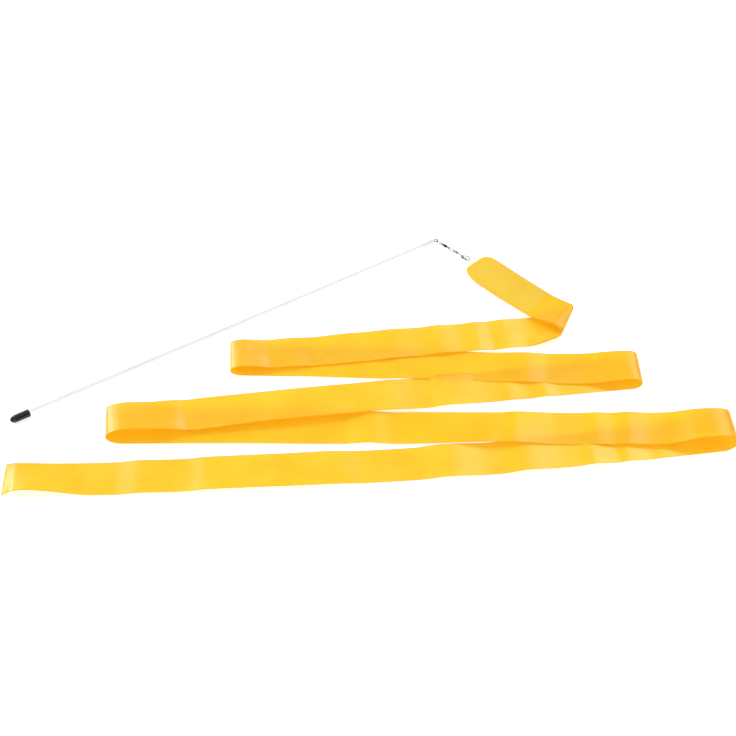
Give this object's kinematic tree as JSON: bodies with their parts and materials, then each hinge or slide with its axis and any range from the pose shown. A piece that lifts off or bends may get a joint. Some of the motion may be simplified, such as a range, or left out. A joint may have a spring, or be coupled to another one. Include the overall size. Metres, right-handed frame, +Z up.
{
  "type": "rhythmic gymnastics ribbon wand",
  "caption": "Tapered white wand joined by swivels and a snap hook to a golden satin ribbon that lies folded to and fro on a flat surface.",
  "frame": {"origin": "on the surface the wand and ribbon lie on, below the middle of the whole layout", "axes": "+Z is up; +X runs along the longest run of ribbon, with the ribbon's free end at -X; +Y is the side where the wand's tip and the ribbon's tab lie"},
  "size_m": [0.8386, 0.4429, 0.0206],
  "materials": {
    "ribbon_satin": "golden yellow satin, a soft sheen along the length",
    "stick_white": "smooth white glass-fibre rod",
    "cap_black": "matt black moulded rubber",
    "ferrule_white": "white plastic tube end",
    "wire_steel": "plain drawn wire",
    "barrel_dark": "darkened steel",
    "barrel_grey": "plain turned steel",
    "hook_steel": "bright plated",
    "thread_white": "twisted nylon thread"
  },
  "bodies": {
    "ribbon": {"ribbon": "ribbon_satin", "tab_lining": "ribbon_satin", "thread_loop": "thread_white"},
    "snap_hook": {"snap_hook": "hook_steel", "latch_pin": "wire_steel", "latch_spring": "wire_steel"},
    "latch": {"latch": "hook_steel"},
    "lower_barrel": {"lower_swivel_barrel": "barrel_grey"},
    "lower_eye": {"lower_swivel_eye": "wire_steel"},
    "middle_link": {"middle_link": "wire_steel"},
    "upper_link_eye": {"upper_swivel_link_eye": "wire_steel"},
    "upper_barrel": {"upper_swivel_barrel": "barrel_dark"},
    "upper_tip_eye": {"upper_swivel_tip_eye": "wire_steel"},
    "tip_link": {"tip_link": "wire_steel"},
    "wand": {"tip_eye": "wire_steel", "tip_ferrule": "ferrule_white", "wand_stick": "stick_white", "end_cap": "cap_black"}
  },
  "joints": [
    {"name": "hook_on_thread", "type": "hinge", "parent": "ribbon", "child": "snap_hook", "pos_m": [0.12517, 0.17985, 0.0029], "axis": [0.6691, 0.7431, 0], "range_deg": [0, 60]},
    {"name": "latch_pivot", "type": "hinge", "parent": "snap_hook", "child": "latch", "pos_m": [0.11583, 0.18651, 0.0029], "axis": [0, 0, 1], "range_deg": [0, 25], "stiffness_Nm_per_rad": 0.004, "springref_deg": -11.46, "deforming": ["latch_spring"]},
    {"name": "hook_in_lower_barrel", "type": "hinge", "parent": "snap_hook", "child": "lower_barrel", "pos_m": [0.1112, 0.19243, 0.0029], "axis": [-0.7431, 0.6691, 0], "continuous": true},
    {"name": "eye_in_lower_barrel", "type": "hinge", "parent": "lower_barrel", "child": "lower_eye", "pos_m": [0.10823, 0.19511, 0.0029], "axis": [-0.7431, 0.6691, 0], "continuous": true},
    {"name": "middle_link_in_lower_eye", "type": "hinge", "parent": "lower_eye", "child": "middle_link", "pos_m": [0.10689, 0.19631, 0.0029], "axis": [0.6691, 0.7431, 0], "range_deg": [0, 40]},
    {"name": "upper_eye_on_middle_link", "type": "hinge", "parent": "middle_link", "child": "upper_link_eye", "pos_m": [0.09931, 0.20314, 0.0029], "axis": [0.6691, 0.7431, 0], "range_deg": [0, 40]},
    {"name": "link_eye_in_upper_barrel", "type": "hinge", "parent": "upper_link_eye", "child": "upper_barrel", "pos_m": [0.09782, 0.20447, 0.0029], "axis": [-0.7431, 0.6691, 0], "continuous": true},
    {"name": "tip_eye_in_upper_barrel", "type": "hinge", "parent": "upper_barrel", "child": "upper_tip_eye", "pos_m": [0.09292, 0.20889, 0.0029], "axis": [-0.7431, 0.6691, 0], "continuous": true},
    {"name": "tip_link_in_upper_eye", "type": "hinge", "parent": "upper_tip_eye", "child": "tip_link", "pos_m": [0.09032, 0.21123, 0.0029], "axis": [0.6691, 0.7431, 0], "range_deg": [0, 40]},
    {"name": "wand_in_tip_link", "type": "hinge", "parent": "tip_link", "child": "wand", "pos_m": [0.08355, 0.21732, 0.0029], "axis": [0, 0, 1], "range_deg": [-180, 3.4]}
  ]
}
